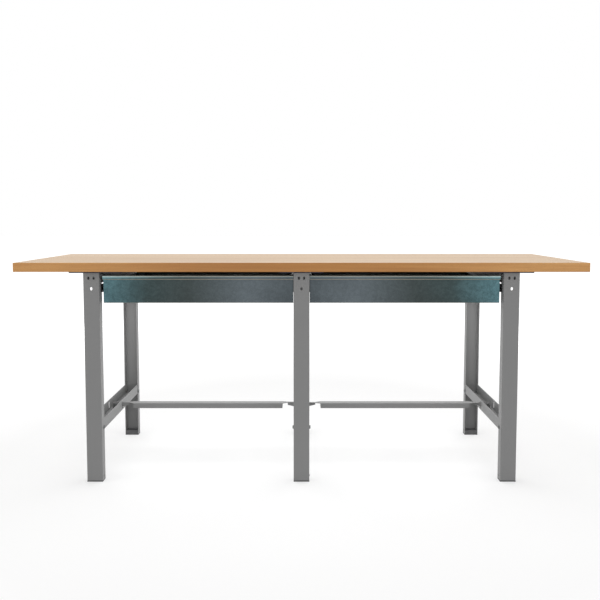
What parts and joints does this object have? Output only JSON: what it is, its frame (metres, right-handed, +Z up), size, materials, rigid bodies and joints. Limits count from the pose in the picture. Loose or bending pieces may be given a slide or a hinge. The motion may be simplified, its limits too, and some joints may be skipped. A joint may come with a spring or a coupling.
{
  "type": "workshop bench",
  "caption": "Long steel-framed jeweller's workbench with a beech-effect board, channel legs, low stretchers and wide galvanised drawers on telescopic slides.",
  "frame": {"origin": "on the floor under the middle of the board", "axes": "+X to the right along the bench, +Y to the back, +Z up; the drawers open towards -Y"},
  "size_m": [2.5, 0.75, 0.98],
  "materials": {
    "beech_surface": "pale beech-effect sheet, satin",
    "edge_band": "warm beech edge band, satin",
    "board_core": "particle board",
    "grey_enamel": "grey powder coat, satin",
    "dark_enamel": "blue-black powder coat",
    "galvanised": "hot-dip galvanised sheet with spangle",
    "black_steel": "black coated slide steel",
    "bright_steel": "polished bearing steel",
    "zinc": "zinc plated",
    "black_plastic": "moulded, matt"
  },
  "bodies": {
    "bench": {"back_foot_centre": "black_plastic", "back_foot_left": "black_plastic", "back_foot_right": "black_plastic", "back_leg_centre": "grey_enamel", "back_leg_left": "grey_enamel", "back_leg_right": "grey_enamel", "bearer_bolts": "zinc", "bearer_centre": "dark_enamel", "bearer_left": "dark_enamel", "bearer_right": "dark_enamel", "edge_band_back": "edge_band", "edge_band_front": "edge_band", "edge_band_left": "edge_band", "edge_band_right": "edge_band", "frame_bolts": "zinc", "frame_nuts": "zinc", "front_foot_centre": "black_plastic", "front_foot_left": "black_plastic", "front_foot_right": "black_plastic", "front_leg_centre": "grey_enamel", "front_leg_left": "grey_enamel", "front_leg_right": "grey_enamel", "left_slide_fixed_inner": "black_steel", "left_slide_fixed_outer": "black_steel", "lower_rail_centre": "grey_enamel", "lower_rail_left": "grey_enamel", "lower_rail_right": "grey_enamel", "right_slide_fixed_inner": "black_steel", "right_slide_fixed_outer": "black_steel", "stretcher_bolts": "zinc", "stretcher_left": "grey_enamel", "stretcher_nuts": "zinc", "stretcher_right": "grey_enamel", "upper_rail_centre": "grey_enamel", "upper_rail_left": "grey_enamel", "upper_rail_right": "grey_enamel", "worktop_core": "board_core", "worktop_surface": "beech_surface"},
    "left_drawer": {"left_drawer_front": "galvanised", "left_drawer_tray": "galvanised", "left_slide_inner_inner": "black_steel", "left_slide_inner_outer": "black_steel"},
    "left_slide_carriage": {"left_ball_cages": "bright_steel", "left_slide_middle_inner": "black_steel", "left_slide_middle_outer": "black_steel"},
    "right_drawer": {"right_drawer_front": "galvanised", "right_drawer_tray": "galvanised", "right_slide_inner_inner": "black_steel", "right_slide_inner_outer": "black_steel"},
    "right_slide_carriage": {"right_ball_cages": "bright_steel", "right_slide_middle_inner": "black_steel", "right_slide_middle_outer": "black_steel"}
  },
  "joints": [
    {"name": "left_drawer_slide", "type": "slide", "parent": "bench", "child": "left_drawer", "axis": [0, -1, 0], "range_m": [0, 0.5]},
    {"name": "left_carriage_slide", "type": "slide", "parent": "bench", "child": "left_slide_carriage", "axis": [0, -1, 0], "range_m": [0, 0.25]},
    {"name": "right_drawer_slide", "type": "slide", "parent": "bench", "child": "right_drawer", "axis": [0, -1, 0], "range_m": [0, 0.5]},
    {"name": "right_carriage_slide", "type": "slide", "parent": "bench", "child": "right_slide_carriage", "axis": [0, -1, 0], "range_m": [0, 0.25]}
  ],
  "couplings": [
    {"joint": "left_carriage_slide", "follows": "left_drawer_slide", "ratio": 0.5},
    {"joint": "right_carriage_slide", "follows": "right_drawer_slide", "ratio": 0.5}
  ]
}
